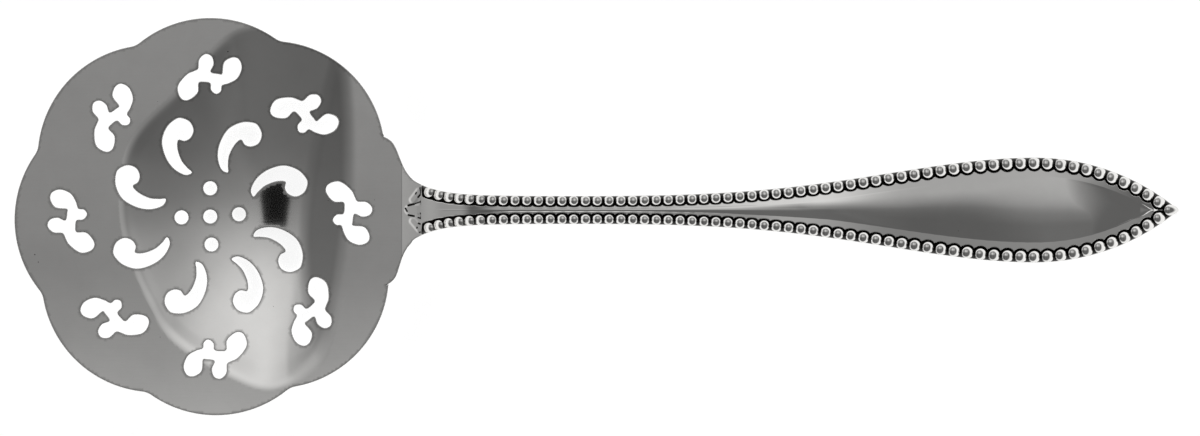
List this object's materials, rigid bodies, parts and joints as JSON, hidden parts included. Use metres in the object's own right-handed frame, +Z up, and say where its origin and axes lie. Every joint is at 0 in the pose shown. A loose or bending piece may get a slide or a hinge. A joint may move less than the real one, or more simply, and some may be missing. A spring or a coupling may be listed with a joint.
{
  "type": "tomato server",
  "caption": "Flat pierced serving utensil with a round lobed bowl and an arched handle edged with beads, for lifting sliced tomatoes and letting them drain.",
  "frame": {"origin": "on the table, in the flat spot worn under the lowest point of the bowl's well", "axes": "+X along the handle from the bowl to the tip, +Y to the left seen from the bowl, +Z up from the table"},
  "size_m": [0.2005, 0.0684, 0.0169],
  "materials": {
    "silver": "polished sterling silver, darkened by oxide in the channel round the beads"
  },
  "bodies": {
    "root": {"tomato_server": "silver"}
  },
  "joints": []
}
